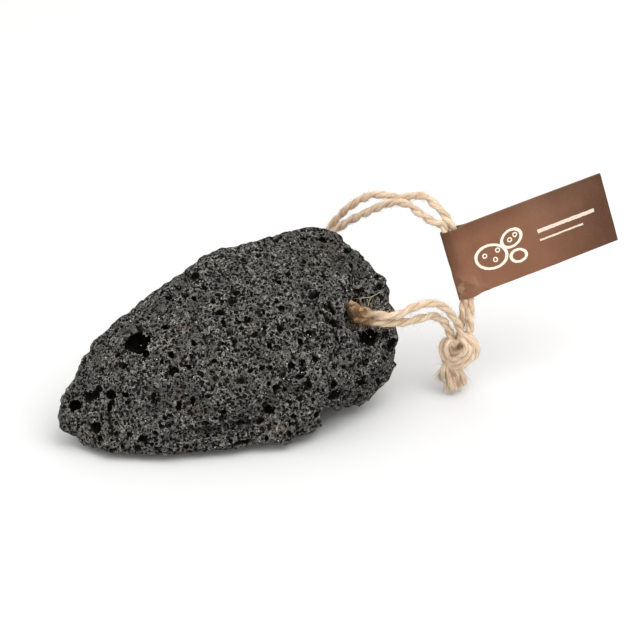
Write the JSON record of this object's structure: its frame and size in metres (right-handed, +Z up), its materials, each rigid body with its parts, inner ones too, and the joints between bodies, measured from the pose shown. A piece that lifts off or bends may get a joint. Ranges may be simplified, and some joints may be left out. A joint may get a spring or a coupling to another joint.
{
  "type": "pumice stone on a twine loop",
  "caption": "Dark grey vesicular lava foot stone, narrow at the tip and drilled at the thick end, on a doubled, knotted twine loop with a folded kraft card tag.",
  "frame": {"origin": "on the surface the stone lies on, below the middle of the stone's own box", "axes": "+X along the stone from its narrow tip to its drilled end, +Y to the back, +Z up"},
  "size_m": [0.1771, 0.0629, 0.0633],
  "materials": {
    "lava": "rough, open pores",
    "jute": "fibrous two-ply twine",
    "card": "matt printed card"
  },
  "bodies": {
    "root": {"stone": "lava", "twine_first": "jute", "twine_second": "jute", "knot": "jute", "tail_left": "jute", "tail_middle": "jute", "tail_right": "jute", "tag": "card"}
  },
  "joints": []
}
